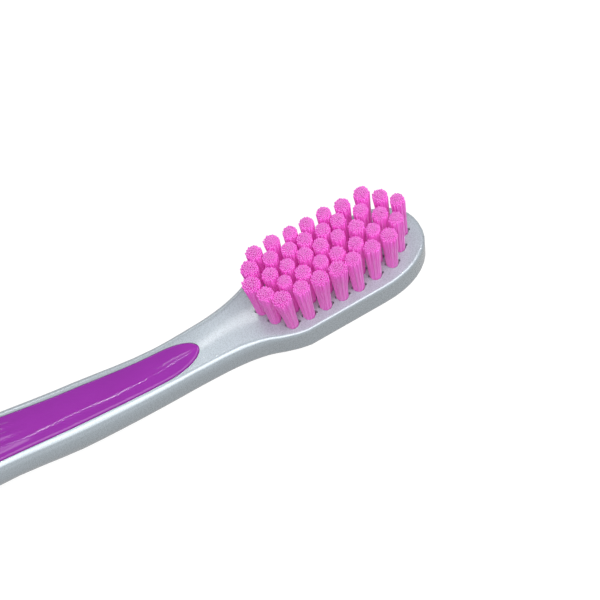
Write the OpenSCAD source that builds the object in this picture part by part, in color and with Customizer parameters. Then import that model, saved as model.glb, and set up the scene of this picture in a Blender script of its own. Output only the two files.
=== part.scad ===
// Manual toothbrush with a two-part handle and 39 tufts of bristle, lying on its back.
// +X runs along the brush to the tip of the head and +Z points up through the bristles.
// The origin is in the middle of the outline, on the surface that the back rests on.

/* [Overall] */
// Length from the tip of the head to the butt
brush_len = 187; // [182:1:200]

/* [Head] */
// Length from the tip to the shoulder
head_len = 20.4; // [19.8:0.2:24]
// Width across the head
head_w = 12; // [11.6:0.1:13.5]
// Thickness of the head
head_t = 5.4; // [5:0.1:6.2]
// Length of the rounded tip
tip_len = 9.1; // [7:0.1:11]
// Rounding of the upper edge
head_edge_r = 0.5; // [0.3:0.05:0.7]
// Rounding of the back edge
head_back_r = 1.4; // [0.8:0.1:1.8]

/* [Neck] */
// Length from the shoulder to the narrowest place
flare_len = 17.2; // [15:0.2:20]
// Width at the narrowest place
neck_w = 6.8; // [5.8:0.1:7.2]
// Thickness at the narrowest place
neck_t = 5.1; // [4.2:0.1:5.4]

/* [Handle] */
// Length from the neck to the upward bend
bend_len = 14; // [11:0.5:17]
// Width at the bend
bend_w = 8; // [7:0.1:8.6]
// Thickness at the bend
bend_t = 5.9; // [5:0.1:6.2]
// Height of the bend's back above the rest surface
bend_lift = 1.6; // [1:0.1:2.4]
// Length from the bend to the shank
shank_len = 13; // [10:0.5:16]
// Width at the shank
shank_w = 8.3; // [7.2:0.1:9]
// Thickness at the shank
shank_t = 5.9; // [5.6:0.1:7]
// Height of the shank's back
shank_lift = 4.9; // [3.6:0.1:5.8]
// Length from the shank to the thumb rest
thumb_len = 22; // [19:0.5:26]
// Width at the thumb rest
thumb_w = 11.8; // [10.6:0.1:13]
// Thickness at the thumb rest
thumb_t = 10; // [9:0.1:11]
// Height of the back under the thumb rest
thumb_lift = 3; // [1.6:0.1:3.4]
// Length from the thumb rest to the waist
waist_len = 30; // [26:0.5:36]
// Width at the waist
waist_w = 9.8; // [9:0.1:11]
// Thickness at the waist
waist_t = 8.4; // [7.6:0.1:9.6]
// Height of the back at the waist
waist_lift = 2; // [0.6:0.1:2.6]
// Length from the waist to the palm swell
palm_len = 38; // [34:0.5:42]
// Width at the palm swell
palm_w = 12; // [11:0.1:13.5]
// Thickness at the palm swell
palm_t = 8.8; // [8:0.1:10]
// Length of the rounded butt
butt_round = 7; // [5:0.5:9]
// Width where the butt starts to round
butt_w = 10.8; // [9.6:0.1:12]
// Thickness where the butt starts to round
butt_t = 7.4; // [6.6:0.1:8.4]

/* [Soft grip] */
// Distance from the shoulder to the nose of the inlay
grip_gap = 13.3; // [11.6:0.1:14.4]
// Distance from the tail of the inlay to the butt
grip_tail_gap = 16; // [14:0.5:22]
// Length of the inlay's rounded nose
nose_len = 5.4; // [4:0.1:8]
// Length of the inlay's rounded tail
tail_len = 9; // [6:0.5:12]
// Depth of the pocket that holds the inlay
grip_depth = 1.6; // [1.2:0.1:2]
// Flat land between the rounded edge and the inlay
grip_land = 0.1; // [0.05:0.05:0.2]
// Height of the inlay's edge above the handle
grip_rise = 0.25; // [0.1:0.05:0.5]
// Width of the inlay's rounded edge
grip_edge = 0.5; // [0.3:0.05:0.6]
// Distance from the nose of the inlay to the thumb ribs
rib_gap = 25; // [20:0.5:30]
// Length of the thumb ribs
rib_len = 36; // [28:1:44]
// Height of the thumb ribs
rib_h = 0.35; // [0.2:0.05:0.5]
// Length of the finger pad at the back
pad_len = 34; // [26:1:40]
// Depth of the pocket that holds the finger pad
pad_depth = 1.4; // [1:0.1:1.8]
// Width of the port that joins inlay and pad
port_w = 2.6; // [2:0.1:3.2]
// Length of the port
port_len = 12; // [8:0.5:16]

/* [Bristles] */
// Height of the bristles above the head
bristle_h = 8.6; // [8:0.1:11]
// Diameter of a tuft hole
tuft_d = 1.75; // [1.7:0.01:1.85]
// Depth of a tuft hole
tuft_depth = 3.4; // [3:0.1:3.8]
// Distance between tufts along a row
tuft_pitch = 2.5; // [2.45:0.01:2.6]
// Distance between rows
row_pitch = 1.95; // [1.92:0.01:2.05]
// Distance from the tip of the head to the last tuft
tip_margin = 2.6; // [2.4:0.1:3]
// Width of one strand
strand_w = 0.34; // [0.28:0.01:0.34]
// Clearance round a tuft in its hole
tuft_fit = 0.03; // [0.02:0.01:0.05]

/* [Anchors] */
// Width of an anchor strip
anchor_w = 2.1; // [2:0.05:2.2]
// Thickness of an anchor strip
anchor_t = 0.3; // [0.25:0.05:0.35]
// Height of an anchor strip
anchor_h = 1.5; // [1.2:0.1:1.8]
// Turn of the anchors from the brush's axis
anchor_turn = -14; // [-30:1:30]
// Thickness of the fold under an anchor
fold_t = 0.4; // [0.3:0.05:0.6]
// Clearance beside an anchor in its slot
anchor_fit = 0.02; // [0.01:0.01:0.04]

/* [Hidden] */
// How far a cut runs past the face that it opens
overrun = 1;
// How far one fused form reaches into the next
bite = 0.5;

// Straight facets in each stretch of the outline
tip_steps = 10;
side_steps = 2;
flare_steps = 16;
nose_steps = 8;
shank_steps = 11;
pad_nose_steps = 4;
pad_steps = 6;
palm_steps = 17;
tail_steps = 5;
rear_steps = 2;
butt_steps = 7;
back_arc_steps = 4;

// Upper edge from the flat to the side: how much of its inset and of its drop is behind each line
edge_shares = [[0, 0], [0.32, 0.045], [0.64, 0.15], [0.88, 0.42], [1, 1]];
// Sides of a tuft hole and of the root in it
hole_sides = 10;

// How full the rounded ends are: 1 is an ellipse, and less is squarer
tip_share = 0.9;
butt_share = 0.75;

// Taper from shoulder to neck: how far along, how much narrower, how much thinner,
// and the upper edge's rounding beside the half width
flare_shares = [
    [0.058, 0.07, 0, 0.09],
    [0.105, 0.14, 0, 0.1],
    [0.14, 0.21, 0, 0.12],
    [0.21, 0.36, 0, 0.15],
    [0.28, 0.54, 0.08, 0.19],
    [0.36, 0.69, 0.22, 0.24],
    [0.51, 0.86, 0.6, 0.32],
    [0.68, 0.95, 0.95, 0.32]
];
// Rounded edges: top inset and drop, then back inset and rise, beside half width and thickness
neck_shares = [0.32, 0.3, 0.5, 0.32];
bend_shares = [0.33, 0.38, 0.5, 0.44];
shank_shares = [0.26, 0.42, 0.52, 0.45];
thumb_shares = [0.24, 0.44, 0.46, 0.45];
waist_shares = [0.26, 0.45, 0.5, 0.45];
palm_shares = [0.26, 0.45, 0.5, 0.45];
butt_shares = [0.28, 0.44, 0.5, 0.45];

// The crown of the inlay swells by this much of its half width
dome_share = 0.13;
// Places across the inlay's crown, from edge to edge, and how much of a rib stands at each
ribbed_shares = [
    [1, 0], [0.74, 0], [0.66, 1], [0.46, 1], [0.38, 0], [0.18, 0], [0.1, 1],
    [-0.1, 1], [-0.18, 0], [-0.38, 0], [-0.46, 1], [-0.66, 1], [-0.74, 0], [-1, 0]
];
// The same across the finger pad, which is plain
plain_shares = [[1, 0], [0.66, 0], [0.24, 0], [-0.24, 0], [-0.66, 0], [-1, 0]];
// The ribs rise to full height over this much of their length at each end
rib_fade_share = 0.15;

// Tufts: along in pitches, across in row pitches
middle_row_shares = [
    [-1, 0], [0, 0], [1, 0], [2, 0], [3, 0], [4, 0], [5, 0], [6.4, 0], [7.6, 0]
];
inner_row_shares = [
    [-0.65, 1.05], [0.48, 1], [1.5, 1], [2.5, 1], [3.5, 1], [4.5, 1], [5.65, 0.84], [7, 0.94]
];
outer_row_shares = [[0, 1.98], [1, 2], [2, 2], [3, 2], [4, 2], [5.1, 1.86], [6.2, 1.7]];
// Strands of a tuft: how many in the ring, and the ring's radius beside the hole
ring_counts = [3, 7];
ring_radius_shares = [0.137, 0.34];
ring_turn_shares = [0, 0.5];
// The tops of the strands stand wider than their feet by this much
flare_share = 0.3;

// Distances back from the tip of the head
shoulder_d = head_len;
neck_d = shoulder_d + flare_len;
bend_d = neck_d + bend_len;
shank_d = bend_d + shank_len;
thumb_d = shank_d + thumb_len;
waist_d = thumb_d + waist_len;
palm_d = waist_d + palm_len;
butt_d = brush_len - butt_round;
nose_d = shoulder_d + grip_gap;
tail_d = brush_len - grip_tail_gap;
pad_start_d = thumb_d - pad_len / 2;
pad_end_d = thumb_d + pad_len / 2;
tip_x = brush_len / 2;

// A station: distance, half width, back, top, top inset, top drop, back inset, back rise
function station(d, w, lift, t, s) = [
    d, w / 2, lift, lift + t, s[0] * w / 2, s[1] * t, s[2] * w / 2, s[3] * t
];
function head_station(d) = [
    d, head_w / 2, 0, head_t, head_edge_r, head_edge_r, head_back_r, head_back_r
];
function mix(a, b, s) = a + (b - a) * s;
function flare_station(s) =
    let (w = mix(head_w, neck_w, s[1]), t = mix(head_t, neck_t, s[2])) [
        shoulder_d + s[0] * flare_len,
        w / 2,
        0,
        t,
        s[3] * w / 2,
        mix(head_edge_r, neck_shares[1] * neck_t, s[1]),
        mix(head_back_r, neck_shares[2] * neck_w / 2, s[1]),
        mix(head_back_r, neck_shares[3] * neck_t, s[1])
    ];
stations = [
    head_station(0),
    head_station(shoulder_d),
    for (s = flare_shares) flare_station(s),
    station(neck_d, neck_w, 0, neck_t, neck_shares),
    station(bend_d, bend_w, bend_lift, bend_t, bend_shares),
    station(shank_d, shank_w, shank_lift, shank_t, shank_shares),
    station(thumb_d, thumb_w, thumb_lift, thumb_t, thumb_shares),
    station(waist_d, waist_w, waist_lift, waist_t, waist_shares),
    station(palm_d, palm_w, 0, palm_t, palm_shares),
    station(butt_d, butt_w, 0, butt_t, butt_shares),
    station(brush_len, butt_w, 0, butt_t, butt_shares)
];

// Smooth curve through one column of the stations, with no overshoot
function rise(i, c) = (stations[i + 1][c] - stations[i][c]) / (stations[i + 1][0] - stations[i][0]);
function lean(i, c) =
    i == 0 || i == len(stations) - 1 ? 0
    : let (a = rise(i - 1, c), b = rise(i, c)) a * b <= 0 ? 0 : 2 * a * b / (a + b);
function span_at(d, i = 0) = i >= len(stations) - 2 || d < stations[i + 1][0] ? i : span_at(d, i + 1);
function along(d, c) =
    let (
        i = span_at(d),
        h = stations[i + 1][0] - stations[i][0],
        t = (d - stations[i][0]) / h,
        u = 1 - t
    )
    stations[i][c] * (1 + 2 * t) * u * u + lean(i, c) * h * t * u * u
    + stations[i + 1][c] * (3 - 2 * t) * t * t - lean(i + 1, c) * h * t * t * u;

// Distances of the facets, even or bunched toward one end
function even(a, b, n) = [for (k = [1:n]) mix(a, b, k / n)];
function bunched_first(a, b, n) = [for (k = [1:n]) mix(a, b, 1 - cos(90 * k / n))];
function bunched_last(a, b, n) = [for (k = [1:n]) mix(a, b, sin(90 * k / n))];

// Outline of the +Y side from tip to butt, as distance and half width
outline = concat(
    [for (k = [0:tip_steps]) let (a = 90 * k / tip_steps)
        [tip_len * (1 - pow(cos(a), tip_share)), head_w / 2 * pow(sin(a), tip_share)]],
    [for (d = concat(
        even(tip_len, shoulder_d, side_steps),
        even(shoulder_d, nose_d, flare_steps),
        bunched_first(nose_d, nose_d + nose_len, nose_steps),
        even(nose_d + nose_len, pad_start_d, shank_steps),
        bunched_first(pad_start_d, pad_start_d + nose_len, pad_nose_steps),
        even(pad_start_d + nose_len, pad_end_d - nose_len, pad_steps),
        bunched_last(pad_end_d - nose_len, pad_end_d, pad_nose_steps),
        even(pad_end_d, tail_d - tail_len, palm_steps),
        bunched_last(tail_d - tail_len, tail_d, tail_steps),
        even(tail_d, butt_d, rear_steps)
    )) [d, along(d, 1)]],
    [for (k = [1:butt_steps]) let (a = 90 * k / butt_steps)
        [butt_d + butt_round * sin(a), butt_w / 2 * pow(cos(a), butt_share)]]
);
last = len(outline) - 1;
grip_first = tip_steps + side_steps + flare_steps;
pad_first = grip_first + nose_steps + shank_steps;
pad_last = pad_first + 2 * pad_nose_steps + pad_steps;
grip_last = pad_last + palm_steps + tail_steps;

// Outward direction of a line of points at one of them, square to its neighbours
function outward(p, i) =
    i == 0 ? [1, 0]
    : i == len(p) - 1 ? [-1, 0]
    : let (t = p[i + 1] - p[i - 1]) [t[1], -t[0]] / norm(t);
function inset(p, by) = [for (i = [0:len(p) - 1]) p[i] - by[i] * outward(p, i)];
// The +Y half of a level, closed by its mirror image
function ring(p, z) = concat(
    [for (i = [0:len(p) - 1]) [p[i][0], p[i][1], z[i]]],
    [for (i = [len(p) - 2:-1:1]) [p[i][0], -p[i][1], z[i]]]
);
// Number of a ring's point at station i of n, on the side s
function spot(base, n, i, s) = base + (s > 0 || i == 0 || i == n ? i : 2 * n - i);
function quad(a, b, c, d) = [
    if (a != b && b != c && a != c) [a, b, c],
    if (a != c && c != d && a != d) [a, c, d]
];
function flipped(faces, on) = on ? [for (f = faces) [f[2], f[1], f[0]]] : faces;
// Wall between a lower and an upper ring, and a flat cap across one ring
function wall(low, up, n) = [
    for (j = [0:2 * n - 1]) let (k = (j + 1) % (2 * n))
        each quad(low + j, up + j, up + k, low + k)
];
function cap(base, n, first = 0, end = -1) = [
    for (i = [first:(end < 0 ? n : end) - 1])
        each quad(spot(base, n, i + 1, 1), spot(base, n, i, 1),
            spot(base, n, i, -1), spot(base, n, i + 1, -1))
];
// Cap that a pocket opens: plain to both sides of it, a band along each edge, its wall and its floor
function pocket_cap(base, n, edge, floor, first, end) =
    let (m = end - first, nose = edge, tail = edge + m)
    concat(
        cap(base, n, 0, first - 1),
        [
            [spot(base, n, first, 1), spot(base, n, first - 1, 1), nose],
            [nose, spot(base, n, first - 1, 1), spot(base, n, first - 1, -1)],
            [nose, spot(base, n, first - 1, -1), spot(base, n, first, -1)]
        ],
        [for (i = [0:m - 1]) each concat(
            quad(spot(base, n, first + i + 1, 1), spot(base, n, first + i, 1),
                spot(edge, m, i, 1), spot(edge, m, i + 1, 1)),
            quad(spot(edge, m, i + 1, -1), spot(edge, m, i, -1),
                spot(base, n, first + i, -1), spot(base, n, first + i + 1, -1))
        )],
        flipped(wall(floor, edge, m), true),
        cap(floor, m),
        [
            [spot(base, n, end + 1, 1), spot(base, n, end, 1), tail],
            [spot(base, n, end + 1, 1), tail, spot(base, n, end + 1, -1)],
            [spot(base, n, end + 1, -1), tail, spot(base, n, end, -1)]
        ],
        cap(base, n, end + 1, n)
    );

// The outline in the part's own frame, and each station's sizes
plan = [for (p = outline) [tip_x - p[0], p[1]]];
half_ws = [for (p = outline) along(p[0], 1)];
backs = [for (p = outline) along(p[0], 2)];
tops = [for (p = outline) along(p[0], 3)];
top_insets = [for (p = outline) along(p[0], 4)];
top_drops = [for (p = outline) along(p[0], 5)];
back_insets = [for (p = outline) along(p[0], 6)];
back_rises = [for (p = outline) along(p[0], 7)];

// One level of the rounded edge, from flat to upright: by angle at the back, by line at the top
function back_level(a) = ring(
    inset(plan, [for (r = back_insets) r * (1 - sin(a))]),
    [for (i = [0:last]) backs[i] + back_rises[i] * (1 - cos(a))]
);
function top_level(line) = ring(
    inset(plan, [for (r = top_insets) r * (1 - line[0])]),
    [for (i = [0:last]) tops[i] - top_drops[i] * line[1]]
);

// Rounded end of an inlay: how wide it is at distance d, from 0 at the end itself
function ending(d, start, end, nose, tail) =
    d < start + nose ? sqrt(max(0, 1 - pow((start + nose - d) / nose, 2)))
    : d > end - tail ? sqrt(max(0, 1 - pow((d - end + tail) / tail, 2)))
    : 1;
grip_plan = [for (i = [grip_first:grip_last]) let (d = outline[i][0])
    [plan[i][0], (half_ws[i] - top_insets[i] - grip_land) * ending(d, nose_d, tail_d, nose_len, tail_len)]];
pad_plan = [for (i = [pad_first:pad_last]) let (d = outline[i][0])
    [plan[i][0], (half_ws[i] - back_insets[i] - grip_land)
        * ending(d, pad_start_d, pad_end_d, nose_len, nose_len)]];
grip_tops = [for (i = [grip_first:grip_last]) tops[i]];
pad_backs = [for (i = [pad_first:pad_last]) backs[i]];

function shift(z, by) = [for (v = z) v + by];

// The rigid moulding before its holes are made
module handle_loft() {
    levels = concat(
        [for (k = [0:back_arc_steps]) back_level(90 * k / back_arc_steps)],
        [for (k = [len(edge_shares) - 1:-1:0]) top_level(edge_shares[k])]
    );
    count = 2 * last;
    top = (len(levels) - 1) * count;
    grip_edge_base = top + count;
    grip_floor_base = grip_edge_base + 2 * (grip_last - grip_first);
    pad_edge_base = grip_floor_base + 2 * (grip_last - grip_first);
    pad_floor_base = pad_edge_base + 2 * (pad_last - pad_first);
    points = concat(
        [for (l = levels) each l],
        ring(grip_plan, grip_tops),
        ring(grip_plan, shift(grip_tops, -grip_depth)),
        ring(pad_plan, pad_backs),
        ring(pad_plan, shift(pad_backs, pad_depth))
    );
    faces = concat(
        [for (k = [0:len(levels) - 2]) each wall(k * count, (k + 1) * count, last)],
        pocket_cap(top, last, grip_edge_base, grip_floor_base, grip_first, grip_last),
        flipped(pocket_cap(0, last, pad_edge_base, pad_floor_base, pad_first, pad_last), true)
    );
    polyhedron(points, faces, convexity = 10);
}

// Port through the handle, from pocket to pocket, reaching past both floors by the given amount
module port(past) {
    low = thumb_lift + pad_depth - past;
    high = thumb_lift + thumb_t - grip_depth + past;
    x = tip_x - thumb_d;
    half = (port_len - port_w) / 2;
    translate([x, 0, low])
        linear_extrude(high - low)
            union() {
                square([2 * half, port_w], center = true);
                for (s = [-1, 1])
                    translate([s * half, 0])
                        circle(d = port_w, $fn = 32);
            }
}

// Height of the thumb ribs at distance d: they fade in and out along their length
function rib_at(d) =
    let (
        fade = rib_len * rib_fade_share,
        from_start = d - nose_d - rib_gap,
        to_end = nose_d + rib_gap + rib_len - d
    )
    rib_h * max(0, min(1, from_start / fade, to_end / fade));

// Soft inlay in a pocket: floor, wall, rounded edge and a domed crown, with or without ribs.
// up is 1 for the front and -1 for the back, z is the face that the pocket opens.
module inlay(p, z, up, depth, across) {
    n = len(p) - 1;
    count = 2 * n;
    rows = len(across) - 2;
    rim = inset(p, [for (q = p) grip_edge * (q[1] > grip_edge ? 1 : q[1] / grip_edge)]);
    middle = inset(p, [for (q = p) grip_edge * (1 - sin(45)) * (q[1] > grip_edge ? 1 : q[1] / grip_edge)]);
    crown = shift(z, up * grip_rise);
    points = concat(
        ring(p, shift(z, -up * depth)),
        ring(p, z),
        ring(middle, shift(z, up * grip_rise * sin(45))),
        ring(rim, crown),
        [for (i = [1:n - 1]) for (q = [1:rows]) let (f = across[q][0], y = rim[i][1]) [
            rim[i][0],
            y * f,
            crown[i] + up * (y * dome_share * (1 - f * f) + across[q][1] * rib_at(tip_x - rim[i][0]))
        ]]
    );
    function cell_spot(i, q) =
        q == 0 || i == 0 || i == n ? spot(3 * count, n, i, 1)
        : q == rows + 1 ? spot(3 * count, n, i, -1)
        : 4 * count + (i - 1) * rows + q - 1;
    faces = concat(
        flipped(cap(0, n), true),
        wall(0, count, n),
        wall(count, 2 * count, n),
        wall(2 * count, 3 * count, n),
        [for (i = [0:n - 1]) for (q = [0:rows]) each quad(
            cell_spot(i + 1, q), cell_spot(i, q), cell_spot(i, q + 1), cell_spot(i + 1, q + 1)
        )]
    );
    polyhedron(points, flipped(faces, up < 0), convexity = 10);
}

// Places of the tufts, row by row from -Y to +Y
last_share = middle_row_shares[len(middle_row_shares) - 1][0];
function places(row, side) = [for (s = row) [
    tip_x - tip_margin - (last_share - s[0]) * tuft_pitch,
    side * s[1] * row_pitch
]];
tuft_rows = [
    places(outer_row_shares, -1),
    places(inner_row_shares, -1),
    places(middle_row_shares, 1),
    places(inner_row_shares, 1),
    places(outer_row_shares, 1)
];
row_names = ["a", "b", "c", "d", "e"];
function tuft_name(r, i) = str("tuft_", row_names[r], i + 1);
function anchor_name(r) = str("anchors_", row_names[r]);
hole_floor = head_t - tuft_depth;
anchor_z = hole_floor + fold_t;

// Strip of metal over a tuft's fold, or the space that it takes with some room beside it and above it
module strip(beside, above) {
    rotate([0, 0, anchor_turn])
        translate([-anchor_w / 2 - beside, -anchor_t / 2 - beside, anchor_z])
            cube([anchor_w + 2 * beside, anchor_t + 2 * beside, anchor_h + above]);
}

// One strand of three sides, from the top of the root to the trimmed end, leaning outward
module strand(radius, a, z) {
    side_r = strand_w / (2 * sin(60));
    foot = radius * [cos(a), sin(a)];
    head = foot * (1 + flare_share);
    corners = [for (k = [0:2]) side_r * [cos(a + 120 * k), sin(a + 120 * k)]];
    points = concat(
        [for (c = corners) [foot[0] + c[0], foot[1] + c[1], z]],
        [for (c = corners) [head[0] + c[0], head[1] + c[1], head_t + bristle_h]]
    );
    polyhedron(points, [
        [0, 1, 2], [5, 4, 3],
        [0, 3, 4], [0, 4, 1], [1, 4, 5], [1, 5, 2], [2, 5, 3], [2, 3, 0]
    ]);
}

// A tuft: the folded root in its hole, with the anchor's slot, and the strands that stand on it
module tuft(place) {
    root_top = head_t - head_edge_r / 4;
    color("hotpink")
        translate([place[0], place[1], 0])
            union() {
                difference() {
                    translate([0, 0, hole_floor])
                        cylinder(d = tuft_d - 2 * tuft_fit, h = root_top - hole_floor, $fn = hole_sides);
                    strip(anchor_fit, anchor_fit);
                }
                for (k = [0:len(ring_counts) - 1])
                    for (s = [0:ring_counts[k] - 1])
                        strand(
                            ring_radius_shares[k] * tuft_d,
                            360 * (s + ring_turn_shares[k]) / ring_counts[k],
                            root_top - fold_t
                        );
            }
}

module anchors(row) {
    color("gold")
        for (p = row)
            translate([p[0], p[1], 0])
                strip(0, 0);
}

module handle() {
    color("lightsteelblue")
        difference() {
            handle_loft();
            for (row = tuft_rows)
                for (p = row)
                    translate([p[0], p[1], 0]) {
                        translate([0, 0, hole_floor])
                            cylinder(d = tuft_d, h = tuft_depth + overrun, $fn = hole_sides);
                        strip(anchor_fit, tuft_depth);
                    }
            port(overrun / 2);
        }
}

module soft_grip() {
    color("darkorchid")
        union() {
            inlay(grip_plan, grip_tops, 1, grip_depth, ribbed_shares);
            inlay(pad_plan, pad_backs, -1, pad_depth, plain_shares);
            port(bite);
        }
}

handle();
soft_grip();
for (r = [0:len(tuft_rows) - 1]) {
    anchors(tuft_rows[r]);
    for (i = [0:len(tuft_rows[r]) - 1])
        tuft(tuft_rows[r][i]);
}
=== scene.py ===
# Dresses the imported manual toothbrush: the silver handle, the purple grip, the filament tufts,
# the anchors, and the table, lamps and camera that it is seen with.
import math
import random

import bpy
from mathutils import Matrix, Vector


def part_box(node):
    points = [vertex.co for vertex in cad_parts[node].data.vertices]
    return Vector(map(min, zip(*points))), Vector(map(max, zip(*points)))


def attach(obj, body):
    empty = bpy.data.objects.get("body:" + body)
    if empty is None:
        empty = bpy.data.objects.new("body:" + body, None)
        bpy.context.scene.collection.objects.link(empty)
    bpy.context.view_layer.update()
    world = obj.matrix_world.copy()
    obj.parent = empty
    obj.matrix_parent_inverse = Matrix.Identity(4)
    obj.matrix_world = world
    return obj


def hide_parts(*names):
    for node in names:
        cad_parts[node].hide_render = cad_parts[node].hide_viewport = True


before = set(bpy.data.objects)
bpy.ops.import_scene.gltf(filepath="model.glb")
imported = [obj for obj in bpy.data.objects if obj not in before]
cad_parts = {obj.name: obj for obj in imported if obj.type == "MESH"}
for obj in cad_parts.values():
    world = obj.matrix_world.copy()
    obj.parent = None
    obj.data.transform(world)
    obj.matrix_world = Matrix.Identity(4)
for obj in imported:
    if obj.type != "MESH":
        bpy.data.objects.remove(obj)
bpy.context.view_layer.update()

bl_info = {
    "name": "Toothbrush dress",
    "version": (1, 0, 0),
    "blender": (4, 5, 0),
    "location": "View3D > Sidebar > Toothbrush",
    "description": "Handle, grip, tufts, anchors and studio of a manual toothbrush",
    "category": "Object",
}

MM = 0.001
BODY = "root"
TUFTS = sorted(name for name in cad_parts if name.startswith("tuft_"))
ANCHORS = sorted(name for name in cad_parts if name.startswith("anchors_"))
# Heights of the solids' trimmed ends and of the floors of their holes
BRISTLE_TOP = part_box(TUFTS[0])[1].z
HOLE_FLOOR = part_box(TUFTS[0])[0].z
# The filaments start just above the anchors in their holes
FOOT_Z = HOLE_FLOOR + 2.0 * MM
# Where the inlay ends towards the head
GRIP_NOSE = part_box("soft_grip")[1].x
# How the tufts' names tell their place: the worn row, the first of each row,
# and the last ones at the tip
WORN_ROW = "_a"
NECK_END = "1"
TIP_TUFTS = ("c9", "d8", "e7")
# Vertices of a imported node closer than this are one, and triangles this flat become quads
WELD = 0.0005 * MM
QUAD_FLATNESS = math.radians(25)
QUAD_SHAPE = math.radians(60)
# A filament's sides, where it can bend along its length, and the rounding of its ends
# beside its width
STRAND_SIDES = 6
BEND_SHARES = (0.2, 0.45, 0.7)
END_ROUNDING = 0.22
STRAND_SMOOTH = math.radians(62)
# How much the tufts differ in spread, and the filaments in their curve
SPREAD_RANGE = (0.94, 1.08)
BOW_RANGE = (1.2, 1.9)


# ---- Sizes and colours that can be changed ----

class HandleLook(bpy.types.PropertyGroup):
    """Finish of the rigid moulding"""
    colour: bpy.props.FloatVectorProperty(
        name="Plastic", description="Colour of the silver plastic",
        default=(0.385, 0.435, 0.475), subtype="COLOR", size=3, min=0, max=1)
    flake_colour: bpy.props.FloatVectorProperty(
        name="Flakes", description="Colour of the brightest pearl flakes",
        default=(0.54, 0.58, 0.61), subtype="COLOR", size=3, min=0, max=1)
    flake_size: bpy.props.FloatProperty(
        name="Flake size", description="Width of one pearl flake",
        default=0.08 * MM, unit="LENGTH", min=0.02 * MM, max=2 * MM, precision=5)
    smooth_angle: bpy.props.FloatProperty(
        name="Smooth angle", description="Edges flatter than this are shaded smooth",
        default=math.radians(34), subtype="ANGLE")


class GripLook(bpy.types.PropertyGroup):
    """Finish of the overmoulded grip"""
    colour: bpy.props.FloatVectorProperty(
        name="Rubber", description="Colour of the purple rubber",
        default=(0.255, 0.028, 0.31), subtype="COLOR", size=3, min=0, max=1)
    nose_colour: bpy.props.FloatVectorProperty(
        name="Nose", description="Colour of the thin rubber at the nose of the inlay",
        default=(0.285, 0.03, 0.325), subtype="COLOR", size=3, min=0, max=1)
    levels: bpy.props.IntProperty(
        name="Subdivisions", description="How often the rubber's faces are divided",
        default=2, min=0, max=3)
    crease_angle: bpy.props.FloatProperty(
        name="Crease angle", description="Edges sharper than this are kept where faces are divided",
        default=math.radians(60), subtype="ANGLE")


class BristleLook(bpy.types.PropertyGroup):
    """Filaments of the tufts"""
    strand: bpy.props.FloatProperty(
        name="Filament", description="Width of one filament",
        default=0.25 * MM, unit="LENGTH", min=0.1 * MM, max=0.3 * MM, precision=5)
    count: bpy.props.IntProperty(
        name="Count", description="Filaments in one tuft", default=78, min=20, max=100)
    foot_radius: bpy.props.FloatProperty(
        name="Radius in the hole", description="Radius of a tuft where it leaves its hole",
        default=0.7 * MM, unit="LENGTH", min=0.5 * MM, max=0.85 * MM, precision=5)
    top_radius: bpy.props.FloatProperty(
        name="Radius at the top", description="Radius of a tuft at its trimmed end",
        default=0.95 * MM, unit="LENGTH", min=0.5 * MM, max=1.3 * MM, precision=5)
    splay: bpy.props.FloatProperty(
        name="Splay",
        description="How much wider the tufts of the worn row and those next to the neck spread",
        default=1.15, min=1, max=1.4)
    stray: bpy.props.FloatProperty(
        name="Stray", description="How far the end of a filament strays from its place",
        default=0.045 * MM, unit="LENGTH", min=0, max=0.2 * MM, precision=5)
    trim: bpy.props.FloatProperty(
        name="Trim", description="How much shorter than the rest a filament may be cut",
        default=0.14 * MM, unit="LENGTH", min=0, max=0.4 * MM, precision=5)
    crown: bpy.props.FloatProperty(
        name="Crown", description="How much lower the outer filaments of a tuft end",
        default=0.65 * MM, unit="LENGTH", min=0, max=0.8 * MM, precision=5)
    sway: bpy.props.FloatProperty(
        name="Sway", description="How far the top of a tuft sways from its foot",
        default=0.15 * MM, unit="LENGTH", min=0, max=0.4 * MM, precision=5)
    end_lean: bpy.props.FloatProperty(
        name="End lean", description="How far the tufts next to the neck lean towards it",
        default=0.35 * MM, unit="LENGTH", min=0, max=1 * MM, precision=5)
    tip_lean: bpy.props.FloatProperty(
        name="Tip lean", description="How far the last tufts at the tip lean towards +Y",
        default=0.35 * MM, unit="LENGTH", min=0, max=1 * MM, precision=5)
    colour: bpy.props.FloatVectorProperty(
        name="Filament", description="Colour of the filaments' sides",
        default=(0.78, 0.15, 0.65), subtype="COLOR", size=3, min=0, max=1)
    # Painted light: the ends get a paler tint that stands in for the light falling on the trimmed
    # tops.
    painted_top_light_colour: bpy.props.FloatVectorProperty(
        name="Ends", description="Colour of the rounded ends",
        default=(0.54, 0.145, 0.45), subtype="COLOR", size=3, min=0, max=1)
    # Painted light: the filaments glow faintly in this colour and strength, in place of the light
    # scattered on between them.
    painted_glow_colour: bpy.props.FloatVectorProperty(
        name="Inner light", description="Colour of the light that the filaments pass on",
        default=(1.0, 0.04, 0.57), subtype="COLOR", size=3, min=0, max=1)
    painted_glow_strength: bpy.props.FloatProperty(
        name="Inner strength",
        description="Strength of the light that stands in for what the filaments pass on",
        default=0.125, min=0, max=0.3)
    seed: bpy.props.IntProperty(
        name="Seed", description="Seed of the strays, twists and tones", default=11)


class AnchorLook(bpy.types.PropertyGroup):
    """Finish of the metal anchors"""
    colour: bpy.props.FloatVectorProperty(
        name="Metal", description="Colour of the brass strip",
        default=(0.78, 0.64, 0.36), subtype="COLOR", size=3, min=0, max=1)


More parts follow.
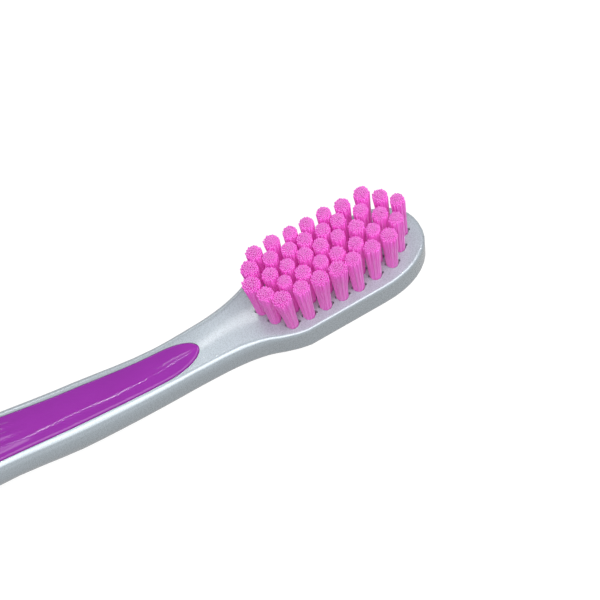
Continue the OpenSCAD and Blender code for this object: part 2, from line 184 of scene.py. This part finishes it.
class StageLook(bpy.types.PropertyGroup):
    """Table, lamps and camera"""
    camera_place: bpy.props.FloatVectorProperty(
        name="Camera", description="Place of the camera",
        default=(56.249 * MM, -69.349 * MM, 148.706 * MM), subtype="TRANSLATION", size=3,
        precision=5)
    camera_ahead: bpy.props.FloatVectorProperty(
        name="Ahead", description="Direction in which the camera looks",
        default=(0.1132, 0.4253, -0.8979), subtype="DIRECTION", size=3)
    camera_up: bpy.props.FloatVectorProperty(
        name="Up", description="Direction of the picture's upper side",
        default=(0.4882, 0.7633, 0.4231), subtype="DIRECTION", size=3)
    lens: bpy.props.FloatProperty(
        name="Lens", description="Focal length in millimetres on a 36 mm sensor",
        default=72.8, min=20, max=200)
    table_size: bpy.props.FloatProperty(
        name="Table", description="Length of the table's side",
        default=6, unit="LENGTH", min=1, max=20)
    table_tone: bpy.props.FloatProperty(
        name="Table tone", description="How much of the light the table throws back",
        default=0.15, min=0, max=1)
    table_glow: bpy.props.FloatProperty(
        name="Table glow", description="Light added to the table where the camera sees it",
        default=0.88, min=0, max=2)
    mirrored_glow: bpy.props.FloatProperty(
        name="Mirrored glow", description="Light added to the table where the brush mirrors it",
        default=0.42, min=0, max=2)
    sky: bpy.props.FloatProperty(
        name="Room light", description="Strength of the light from all sides",
        default=0.18, min=0, max=2)


# ---- Shared steps ----

def look():
    return bpy.context.scene.toothbrush


def deselect_all():
    if bpy.context.object and bpy.context.object.mode != "OBJECT":
        bpy.ops.object.mode_set(mode="OBJECT")
    bpy.ops.object.select_all(action="DESELECT")


def activate(piece):
    deselect_all()
    piece.select_set(True)
    bpy.context.view_layer.objects.active = piece


def edit(piece, kind="FACE"):
    activate(piece)
    bpy.ops.object.mode_set(mode="EDIT")
    bpy.ops.mesh.select_mode(type=kind)
    bpy.ops.mesh.select_all(action="DESELECT")


def merged_copy(node, name):
    """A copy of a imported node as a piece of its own, with its loose triangles joined into quads."""
    piece = bpy.data.objects.new(name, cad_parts[node].data.copy())
    bpy.context.scene.collection.objects.link(piece)
    piece.data.name = name
    piece.data.materials.clear()
    activate(piece)
    bpy.ops.mesh.customdata_custom_splitnormals_clear()
    edit(piece)
    bpy.ops.mesh.select_all(action="SELECT")
    bpy.ops.mesh.remove_doubles(threshold=WELD)
    bpy.ops.mesh.tris_convert_to_quads(
        face_threshold=QUAD_FLATNESS, shape_threshold=QUAD_SHAPE)
    bpy.ops.object.mode_set(mode="OBJECT")
    return piece


def apply_modifier(piece, kind, name, **settings):
    activate(piece)
    modifier = piece.modifiers.new(name, kind)
    for key, value in settings.items():
        setattr(modifier, key, value)
    bpy.ops.object.modifier_apply(modifier=name)


def crease(piece, angle):
    """Keeps the edges sharper than the angle in their place when the piece is subdivided."""
    edit(piece, "EDGE")
    bpy.ops.mesh.edges_select_sharp(sharpness=angle)
    bpy.ops.transform.edge_crease(value=1)
    bpy.ops.object.mode_set(mode="OBJECT")


def smooth(piece, angle):
    """Smooth shading that keeps the large faces flat and the sharp edges sharp."""
    activate(piece)
    bpy.ops.object.shade_smooth_by_angle(angle=angle)
    apply_modifier(piece, "WEIGHTED_NORMAL", "Even shading", keep_sharp=True, weight=80)


def seat(piece, slot, *nodes):
    """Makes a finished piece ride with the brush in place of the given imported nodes."""
    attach(piece, BODY)
    if nodes:
        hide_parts(*nodes)


# ---- Materials ----

class Finish:
    """A material under construction: nodes are added by type and linked by socket name."""

    def __init__(self, name):
        self.material = bpy.data.materials.new(name)
        self.material.use_nodes = True
        self.tree = self.material.node_tree
        self.tree.nodes.clear()
        self.output = self.add("ShaderNodeOutputMaterial")

    def add(self, kind, inputs=(), **settings):
        node = self.tree.nodes.new(kind)
        for key, value in settings.items():
            setattr(node, key, value)
        for key, value in dict(inputs).items():
            if isinstance(value, bpy.types.NodeSocket):
                self.tree.links.new(value, node.inputs[key])
            else:
                node.inputs[key].default_value = value
        return node

    def place(self):
        return self.add("ShaderNodeTexCoord").outputs["Object"]

    def noise(self, scale, detail=3, place=None):
        node = self.add("ShaderNodeTexNoise", {
            "Vector": place or self.place(), "Scale": scale, "Detail": detail})
        return node.outputs["Fac"]

    def cells(self, width):
        """Random value from 0 to 1 for each cell of the given width."""
        node = self.add("ShaderNodeTexVoronoi", {"Vector": self.place(), "Scale": 1 / width})
        return self.add("ShaderNodeSeparateColor", {"Color": node.outputs["Color"]}).outputs["Red"]

    def span(self, value, low, high, to_low, to_high):
        node = self.add("ShaderNodeMapRange", {
            "Value": value, "From Min": low, "From Max": high, "To Min": to_low,
            "To Max": to_high})
        return node.outputs["Result"]

    def blend(self, share, first, second):
        # The colour inputs and output of this node share their names with others
        node = self.add("ShaderNodeMix", data_type="RGBA")
        for socket, value in zip((node.inputs[0], node.inputs[6], node.inputs[7]),
                                 (share, first, second)):
            if isinstance(value, bpy.types.NodeSocket):
                self.tree.links.new(value, socket)
            else:
                socket.default_value = value
        return node.outputs[2]

    def bump(self, height, depth, under=None):
        inputs = {"Height": height, "Distance": depth, "Strength": 1.0}
        if under:
            inputs["Normal"] = under
        return self.add("ShaderNodeBump", inputs).outputs["Normal"]

    def finish(self, inputs):
        shader = self.add("ShaderNodeBsdfPrincipled", inputs)
        self.tree.links.new(shader.outputs[0], self.output.inputs[0])
        return self.material


def rgba(colour):
    return (*colour, 1)


def silver_plastic(settings):
    """Silver moulding compound: fine pearl flakes, faint flow lines and an even gloss."""
    mat = Finish("silver_plastic")
    flakes = mat.cells(settings.flake_size)
    bright = mat.span(flakes, 0.5, 1, 0, 0.15)
    cloud = mat.noise(240, detail=4)
    shade = mat.blend(mat.span(cloud, 0.35, 0.65, 0, 0.2),
                      rgba(settings.colour), rgba([0.9 * c for c in settings.colour]))
    colour = mat.blend(bright, shade, rgba(settings.flake_colour))
    ripple = mat.bump(mat.noise(420, detail=2), 0.003 * MM)
    grain = mat.bump(mat.noise(3800, detail=2), 0.001 * MM, ripple)
    return mat.finish({
        "Base Color": colour, "Metallic": 0.2, "Normal": grain,
        "Roughness": mat.span(flakes, 0, 1, 0.26, 0.3), "Specular IOR Level": 0.25,
        "Coat Weight": 0.6, "Coat Roughness": 0.07})


def purple_rubber(settings):
    """Glossy overmoulded rubber with a faint grain, paler where it thins out at the nose."""
    mat = Finish("purple_rubber")
    cloud = mat.noise(180, detail=3)
    body = mat.blend(mat.span(cloud, 0.35, 0.65, 0, 0.3),
                     rgba(settings.colour), rgba([0.85 * c for c in settings.colour]))
    along = mat.add("ShaderNodeSeparateXYZ", {"Vector": mat.place()}).outputs["X"]
    thin = mat.span(along, GRIP_NOSE - 3.2 * MM, GRIP_NOSE - 0.2 * MM, 0, 1)
    colour = mat.blend(thin, body, rgba(settings.nose_colour))
    swell = mat.bump(mat.noise(330, detail=2), 0.011 * MM)
    grain = mat.bump(mat.noise(2400, detail=2), 0.003 * MM, swell)
    return mat.finish({
        "Base Color": colour, "Normal": grain,
        "Roughness": mat.span(mat.noise(700), 0.3, 0.7, 0.03, 0.08), "Specular IOR Level": 0.22,
        "Subsurface Weight": 0.05, "Subsurface Radius": (0.8 * MM, 0.2 * MM, 0.9 * MM),
        "Subsurface Scale": 1.0})


def pink_filament(settings):
    """Nylon filaments of their own tones, deeper towards the head; the paler ends and a faint glow
    are painted light.
    """
    mat = Finish("pink_filament")
    height = mat.add("ShaderNodeSeparateXYZ", {"Vector": mat.place()}).outputs["Z"]
    tone = mat.add("ShaderNodeAttribute", attribute_name="tone").outputs["Fac"]
    sides = mat.blend(tone, rgba([0.8 * c for c in settings.colour]), rgba(settings.colour))
    # Painted light: the top 0.9 mm of each filament blends to the paler end tint, for the light on
    # the tops.
    ends = mat.span(height, BRISTLE_TOP - 0.9 * MM, BRISTLE_TOP - 0.1 * MM, 0, 1)
    colour = mat.blend(ends, sides, rgba(settings.painted_top_light_colour))
    return mat.finish({
        "Base Color": colour,
        "Roughness": mat.span(tone, 0, 1, 0.3, 0.42),
        "Sheen Weight": 0.4, "Sheen Roughness": 0.35, "Sheen Tint": (1, 0.7, 0.95, 1),
        "Subsurface Weight": 0.6, "Subsurface Radius": (0.2 * MM, 0.2 * MM, 0.2 * MM),
        "Subsurface Scale": 1.0,
        # Painted light: a faint pink glow stands in for the light the filaments pass on to each
        # other.
        "Emission Color": rgba(settings.painted_glow_colour), "Emission Strength": settings.painted_glow_strength})


def anchor_metal(settings):
    """Rolled strip: bright, with fine lines along it."""
    mat = Finish("anchor_metal")
    stretched = mat.add("ShaderNodeMapping", {
        "Vector": mat.place(), "Scale": (0.1, 1, 1)}).outputs["Vector"]
    lines = mat.noise(9000, detail=2, place=stretched)
    colour = mat.blend(lines, rgba(settings.colour), rgba([0.8 * c for c in settings.colour]))
    return mat.finish({
        "Base Color": colour, "Metallic": 1.0,
        "Roughness": mat.span(lines, 0.3, 0.7, 0.25, 0.4)})


# ---- Pieces ----

def make_handle():
    settings = look().handle
    piece = merged_copy("handle", "handle_moulding")
    smooth(piece, settings.smooth_angle)
    piece.data.materials.append(silver_plastic(settings))
    seat(piece, "silver_plastic", "handle")


def make_grip():
    settings = look().grip
    piece = merged_copy("soft_grip", "grip_overmould")
    crease(piece, settings.crease_angle)
    apply_modifier(piece, "SUBSURF", "Round", levels=settings.levels,
                   render_levels=settings.levels)
    activate(piece)
    bpy.ops.object.shade_smooth()
    piece.data.materials.append(purple_rubber(settings))
    seat(piece, "purple_rubber", "soft_grip")


def make_strand(settings, length):
    """One filament, upright on the origin: a rod with steps to bend at and a rounded end."""
    deselect_all()
    bpy.ops.mesh.primitive_cylinder_add(
        vertices=STRAND_SIDES, radius=settings.strand / 2, depth=length, end_fill_type="NGON",
        location=(0, 0, length / 2))
    strand = bpy.context.object
    bpy.ops.object.transform_apply(location=True, rotation=True, scale=True)
    bpy.ops.object.mode_set(mode="EDIT")
    for share in BEND_SHARES:
        bpy.ops.mesh.select_all(action="SELECT")
        bpy.ops.mesh.bisect(plane_co=(0, 0, length * share), plane_no=(0, 0, 1))
    bpy.ops.object.mode_set(mode="OBJECT")
    for face in strand.data.polygons:
        face.select = face.normal.z > 0.9
    bpy.ops.object.mode_set(mode="EDIT")
    bpy.ops.mesh.bevel(offset=settings.strand * END_ROUNDING, segments=2, affect="EDGES")
    bpy.ops.object.mode_set(mode="OBJECT")
    return strand


def strand_places(count):
    """Evenly packed places of a tuft's filaments: share of the tuft's radius, and angle."""
    golden = math.pi * (3 - math.sqrt(5))
    return [(math.sqrt((k + 0.5) / count), k * golden) for k in range(count)]


def make_tuft(name, strand, settings, number):
    """All filaments of one tuft, as bent copies of the one filament."""
    low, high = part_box(name)
    centre = Vector(((low.x + high.x) / 2, (low.y + high.y) / 2))
    draw = random.Random(settings.seed * 1000 + number)
    length = BRISTLE_TOP - FOOT_Z
    turn = draw.uniform(0, math.tau)
    sway = Vector((draw.uniform(-1, 1), draw.uniform(-1, 1))) * settings.sway
    spread = settings.top_radius * draw.uniform(*SPREAD_RANGE)
    if WORN_ROW in name:
        spread *= settings.splay
    if name.endswith(NECK_END):
        spread *= settings.splay
        sway.x -= settings.end_lean
    if name[-2:] in TIP_TUFTS:
        sway.y += settings.tip_lean
    points, faces, tones = [], [], []
    rod = [v.co.copy() for v in strand.data.vertices]
    rod_faces = [tuple(p.vertices) for p in strand.data.polygons]
    for radius, angle in strand_places(settings.count):
        angle += turn
        out = Vector((math.cos(angle), math.sin(angle)))
        foot = centre + out * radius * settings.foot_radius
        stray = Vector((draw.uniform(-1, 1), draw.uniform(-1, 1))) * settings.stray
        top = centre + sway + out * radius * spread + stray
        cut = settings.crown * radius ** 2 + draw.uniform(0, 1) * settings.trim
        bow = draw.uniform(*BOW_RANGE)
        tone = draw.random()
        first = len(points)
        for co in rod:
            share = co.z / length
            at = foot.lerp(top, share ** bow)
            points.append((at.x + co.x, at.y + co.y, FOOT_Z + co.z - cut * share))
        faces += [tuple(first + i for i in face) for face in rod_faces]
        tones += [tone] * len(rod)
    mesh = bpy.data.meshes.new("bristles_" + name[-2:])
    mesh.from_pydata(points, [], faces)
    mesh.attributes.new("tone", "FLOAT", "POINT").data.foreach_set("value", tones)
    piece = bpy.data.objects.new("bristles_" + name[-2:], mesh)
    bpy.context.scene.collection.objects.link(piece)
    return piece


def make_bristles():
    settings = look().bristles
    material = pink_filament(settings)
    strand = make_strand(settings, BRISTLE_TOP - FOOT_Z)
    for number, name in enumerate(TUFTS):
        piece = make_tuft(name, strand, settings, number)
        activate(piece)
        bpy.ops.object.shade_smooth_by_angle(angle=STRAND_SMOOTH)
        piece.data.materials.append(material)
        seat(piece, "pink_filament", name)
    bpy.data.objects.remove(strand)


def make_anchors():
    material = anchor_metal(look().anchors)
    for name in ANCHORS:
        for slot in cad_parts[name].material_slots:
            slot.material = material


# ---- Table, lamps and camera ----

# Name, place, width and height of the glowing face, and power in watts of each lamp
LAMPS = (
    ("key_softbox", (0.1, -0.17, 0.58), (0.75, 0.2), 2.9),
    ("front_softbox", (0.1, -0.37, 0.47), (0.75, 0.25), 2.1),
    ("inlay_strip", (0.1, 0.13, 0.45), (0.7, 0.003), 0.42),
    ("neck_spot", (0.08, 0.214, 0.45), (0.11, 0.008), 0.04),
    ("back_strip", (0.03, 0.56, 0.2), (0.8, 0.05), 0.9),
)
# Where the lamps point
LAMP_TARGET = (0.05, 0, 0)
SENSOR_WIDTH = 36
ROOM_COLOUR = (0.97, 0.985, 1, 1)


def white_table(settings):
    """Matt table that looks white to the camera, pale in reflections, and keeps a faint shadow."""
    mat = Finish("table")
    grain = mat.bump(mat.noise(300), 0.02 * MM)
    path = mat.add("ShaderNodeLightPath")
    mirrored = mat.add("ShaderNodeMath", {
        0: path.outputs["Is Glossy Ray"], 1: path.outputs["Is Transmission Ray"]},
        operation="MAXIMUM")
    mirrored_glow = mat.span(mirrored.outputs[0], 0, 1, 0, settings.mirrored_glow)
    camera_glow = mat.span(path.outputs["Is Camera Ray"], 0, 1, 0, settings.table_glow)
    glow = mat.add("ShaderNodeMath", {0: camera_glow, 1: mirrored_glow}, operation="MAXIMUM")
    return mat.finish({
        "Base Color": rgba([settings.table_tone] * 3), "Roughness": 0.9, "Normal": grain,
        "Emission Color": (1, 1, 1, 1), "Emission Strength": glow.outputs[0]})


def make_room(settings):
    """Even light from all sides, which the camera itself sees as white."""
    world = bpy.data.worlds.new("room")
    bpy.context.scene.world = world
    world.use_nodes = True
    tree = world.node_tree
    background = tree.nodes["Background"]
    background.inputs["Color"].default_value = ROOM_COLOUR
    path = tree.nodes.new("ShaderNodeLightPath")
    strength = tree.nodes.new("ShaderNodeMapRange")
    strength.inputs["To Min"].default_value = settings.sky
    strength.inputs["To Max"].default_value = 1.0
    tree.links.new(path.outputs["Is Camera Ray"], strength.inputs["Value"])
    tree.links.new(strength.outputs["Result"], background.inputs["Strength"])


def add_lamp(name, place, target, size, power):
    deselect_all()
    bpy.ops.object.light_add(type="AREA", location=place)
    lamp = bpy.context.object
    lamp.name = lamp.data.name = name
    lamp.data.shape = "RECTANGLE"
    lamp.data.size, lamp.data.size_y = size
    lamp.data.energy = power
    lamp.rotation_euler = (Vector(target) - Vector(place)).to_track_quat("-Z", "Y").to_euler()
    return lamp


def make_stage():
    settings = look().stage
    deselect_all()
    bpy.ops.mesh.primitive_grid_add(
        x_subdivisions=8, y_subdivisions=8, size=settings.table_size, location=(0, 0, 0))
    table = bpy.context.object
    table.name = table.data.name = "table"
    table.data.materials.append(white_table(settings))
    make_room(settings)
    for name, place, size, power in LAMPS:
        add_lamp(name, place, LAMP_TARGET, size, power)

    camera = bpy.data.objects.new("camera", bpy.data.cameras.new("camera"))
    bpy.context.scene.collection.objects.link(camera)
    back = -Vector(settings.camera_ahead).normalized()
    up = Vector(settings.camera_up)
    right = up.cross(back).normalized()
    up = back.cross(right)
    axes = Matrix((right, up, back)).transposed()
    camera.matrix_world = Matrix.Translation(settings.camera_place) @ axes.to_4x4()
    camera.data.sensor_width = SENSOR_WIDTH
    camera.data.lens = settings.lens
    camera.data.clip_start, camera.data.clip_end = 0.01, 50
    bpy.context.scene.camera = camera
    bpy.context.scene.view_settings.view_transform = "Standard"


# ---- Operators, panel and registration ----

class Toothbrush(bpy.types.PropertyGroup):
    """All settings of the toothbrush"""
    handle: bpy.props.PointerProperty(type=HandleLook, name="Handle")
    grip: bpy.props.PointerProperty(type=GripLook, name="Grip")
    bristles: bpy.props.PointerProperty(type=BristleLook, name="Bristles")
    anchors: bpy.props.PointerProperty(type=AnchorLook, name="Anchors")
    stage: bpy.props.PointerProperty(type=StageLook, name="Stage")


class TOOTHBRUSH_OT_handle(bpy.types.Operator):
    """Finish the rigid handle, with the head and its tuft holes"""
    bl_idname = "toothbrush.handle"
    bl_label = "Handle"

    def execute(self, context):
        make_handle()
        return {"FINISHED"}


class TOOTHBRUSH_OT_grip(bpy.types.Operator):
    """Round and finish the soft grip"""
    bl_idname = "toothbrush.grip"
    bl_label = "Grip"

    def execute(self, context):
        make_grip()
        return {"FINISHED"}


class TOOTHBRUSH_OT_bristles(bpy.types.Operator):
    """Fill every tuft hole with filaments"""
    bl_idname = "toothbrush.bristles"
    bl_label = "Bristles"

    def execute(self, context):
        make_bristles()
        return {"FINISHED"}


class TOOTHBRUSH_OT_anchors(bpy.types.Operator):
    """Finish the metal anchors in the tuft holes"""
    bl_idname = "toothbrush.anchors"
    bl_label = "Anchors"

    def execute(self, context):
        make_anchors()
        return {"FINISHED"}


class TOOTHBRUSH_OT_stage(bpy.types.Operator):
    """Set up the table, the lamps and the camera"""
    bl_idname = "toothbrush.stage"
    bl_label = "Stage"

    def execute(self, context):
        make_stage()
        return {"FINISHED"}


STEPS = (
    ("handle", TOOTHBRUSH_OT_handle),
    ("grip", TOOTHBRUSH_OT_grip),
    ("bristles", TOOTHBRUSH_OT_bristles),
    ("anchors", TOOTHBRUSH_OT_anchors),
    ("stage", TOOTHBRUSH_OT_stage),
)


class TOOTHBRUSH_PT_panel(bpy.types.Panel):
    """Settings and steps of the toothbrush"""
    bl_label = "Toothbrush"
    bl_idname = "TOOTHBRUSH_PT_panel"
    bl_space_type = "VIEW_3D"
    bl_region_type = "UI"
    bl_category = "Toothbrush"

    def draw(self, context):
        for name, step in STEPS:
            box = self.layout.box()
            settings = getattr(context.scene.toothbrush, name)
            for key in settings.__annotations__:
                box.prop(settings, key)
            box.operator(step.bl_idname)


CLASSES = (
    HandleLook, GripLook, BristleLook, AnchorLook, StageLook, Toothbrush,
    *(step for name, step in STEPS), TOOTHBRUSH_PT_panel,
)


def register():
    for cls in CLASSES:
        bpy.utils.register_class(cls)
    bpy.types.Scene.toothbrush = bpy.props.PointerProperty(type=Toothbrush)


def unregister():
    del bpy.types.Scene.toothbrush
    for cls in reversed(CLASSES):
        bpy.utils.unregister_class(cls)


def main():
    register()
    bpy.ops.toothbrush.handle()
    bpy.ops.toothbrush.grip()
    bpy.ops.toothbrush.bristles()
    bpy.ops.toothbrush.anchors()
    bpy.ops.toothbrush.stage()


if __name__ == "__main__":
    main()
